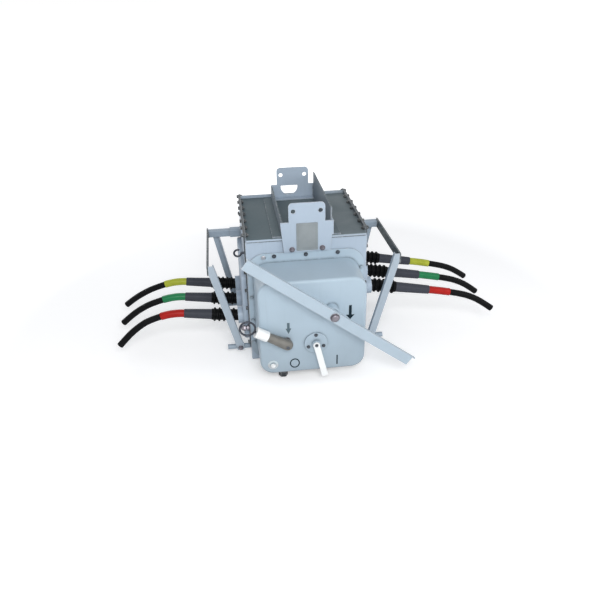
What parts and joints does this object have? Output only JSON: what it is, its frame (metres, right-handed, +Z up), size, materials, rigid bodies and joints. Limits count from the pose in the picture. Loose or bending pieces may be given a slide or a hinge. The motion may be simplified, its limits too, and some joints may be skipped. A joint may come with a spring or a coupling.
{
  "type": "pole-hung gas-filled load-break switch and recloser tank",
  "caption": "Square steel switchgear tank with ribbed cable boots on both sides, a front mechanism cover with a hand lever, a pointer and a lock lever.",
  "frame": {"origin": "middle of the tank's underside", "axes": "+X to the right seen from the front, +Y from the front cover to the back, +Z up"},
  "size_m": [1.6686, 0.772, 0.697],
  "materials": {
    "tank_paint": "light blue-grey powder coat, satin",
    "cover_paint": "light blue-grey powder coat, satin",
    "hanger_paint": "light blue-grey powder coat, satin",
    "frame_paint": "mid grey paint, satin",
    "lever_paint": "light blue-grey paint, satin",
    "white_paint": "white paint, satin",
    "plate_metal": "matt anodised sheet",
    "bright_steel": "bright plated steel",
    "dark_steel": "dark grey paint",
    "rod_finish": "dull zinc-plated steel",
    "white_plastic": "white moulded plastic",
    "boot_rubber": "black silicone rubber",
    "sleeve_rubber": "dark grey heat-shrink sleeve",
    "cable_jacket": "black cable jacket",
    "red_wrap": "red phase sleeve",
    "green_wrap": "green phase sleeve",
    "yellow_wrap": "yellow phase sleeve"
  },
  "bodies": {
    "tank": {"drain_plug": "dark_steel", "front_cover": "cover_paint", "front_hanger": "hanger_paint", "left_boots": "boot_rubber", "left_feet": "frame_paint", "left_front_band": "red_wrap", "left_front_strut": "frame_paint", "left_front_tail": "cable_jacket", "left_hanger_web": "hanger_paint", "left_middle_band": "green_wrap", "left_middle_tail": "cable_jacket", "left_rail": "frame_paint", "left_rear_arm": "frame_paint", "left_rear_band": "yellow_wrap", "left_rear_strut": "frame_paint", "left_rear_tail": "cable_jacket", "left_side_cover": "tank_paint", "left_sleeves": "sleeve_rubber", "lever_boss": "cover_paint", "lid": "tank_paint", "lock_boss": "bright_steel", "name_plate": "plate_metal", "pointer_flange": "cover_paint", "rear_hanger": "hanger_paint", "right_boots": "boot_rubber", "right_feet": "frame_paint", "right_front_band": "red_wrap", "right_front_strut": "frame_paint", "right_front_tail": "cable_jacket", "right_hanger_web": "hanger_paint", "right_middle_band": "green_wrap", "right_middle_tail": "cable_jacket", "right_rail": "frame_paint", "right_rear_arm": "frame_paint", "right_rear_band": "yellow_wrap", "right_rear_strut": "frame_paint", "right_rear_tail": "cable_jacket", "right_side_cover": "tank_paint", "right_sleeves": "sleeve_rubber", "side_hook": "bright_steel", "tank_body": "tank_paint"},
    "lever": {"operating_lever": "lever_paint", "lever_shaft": "bright_steel"},
    "pointer": {"pointer": "white_paint"},
    "lock": {"lock_rod": "rod_finish", "lock_sleeve": "white_plastic", "lock_ring": "bright_steel"}
  },
  "joints": [
    {"name": "lever_swing", "type": "hinge", "parent": "tank", "child": "lever", "pos_m": [0.069, -0.49, 0.327], "axis": [0, -1, 0], "range_deg": [0, 73.6]},
    {"name": "pointer_turn", "type": "hinge", "parent": "tank", "child": "pointer", "pos_m": [0.007, -0.454, 0.178], "axis": [0, 1, 0], "range_deg": [0, 27]},
    {"name": "lock_swing", "type": "hinge", "parent": "tank", "child": "lock", "pos_m": [-0.108, -0.462, 0.196], "axis": [0, -1, 0], "range_deg": [0, 50]}
  ],
  "couplings": [
    {"joint": "pointer_turn", "follows": "lever_swing", "ratio": 0.36}
  ]
}
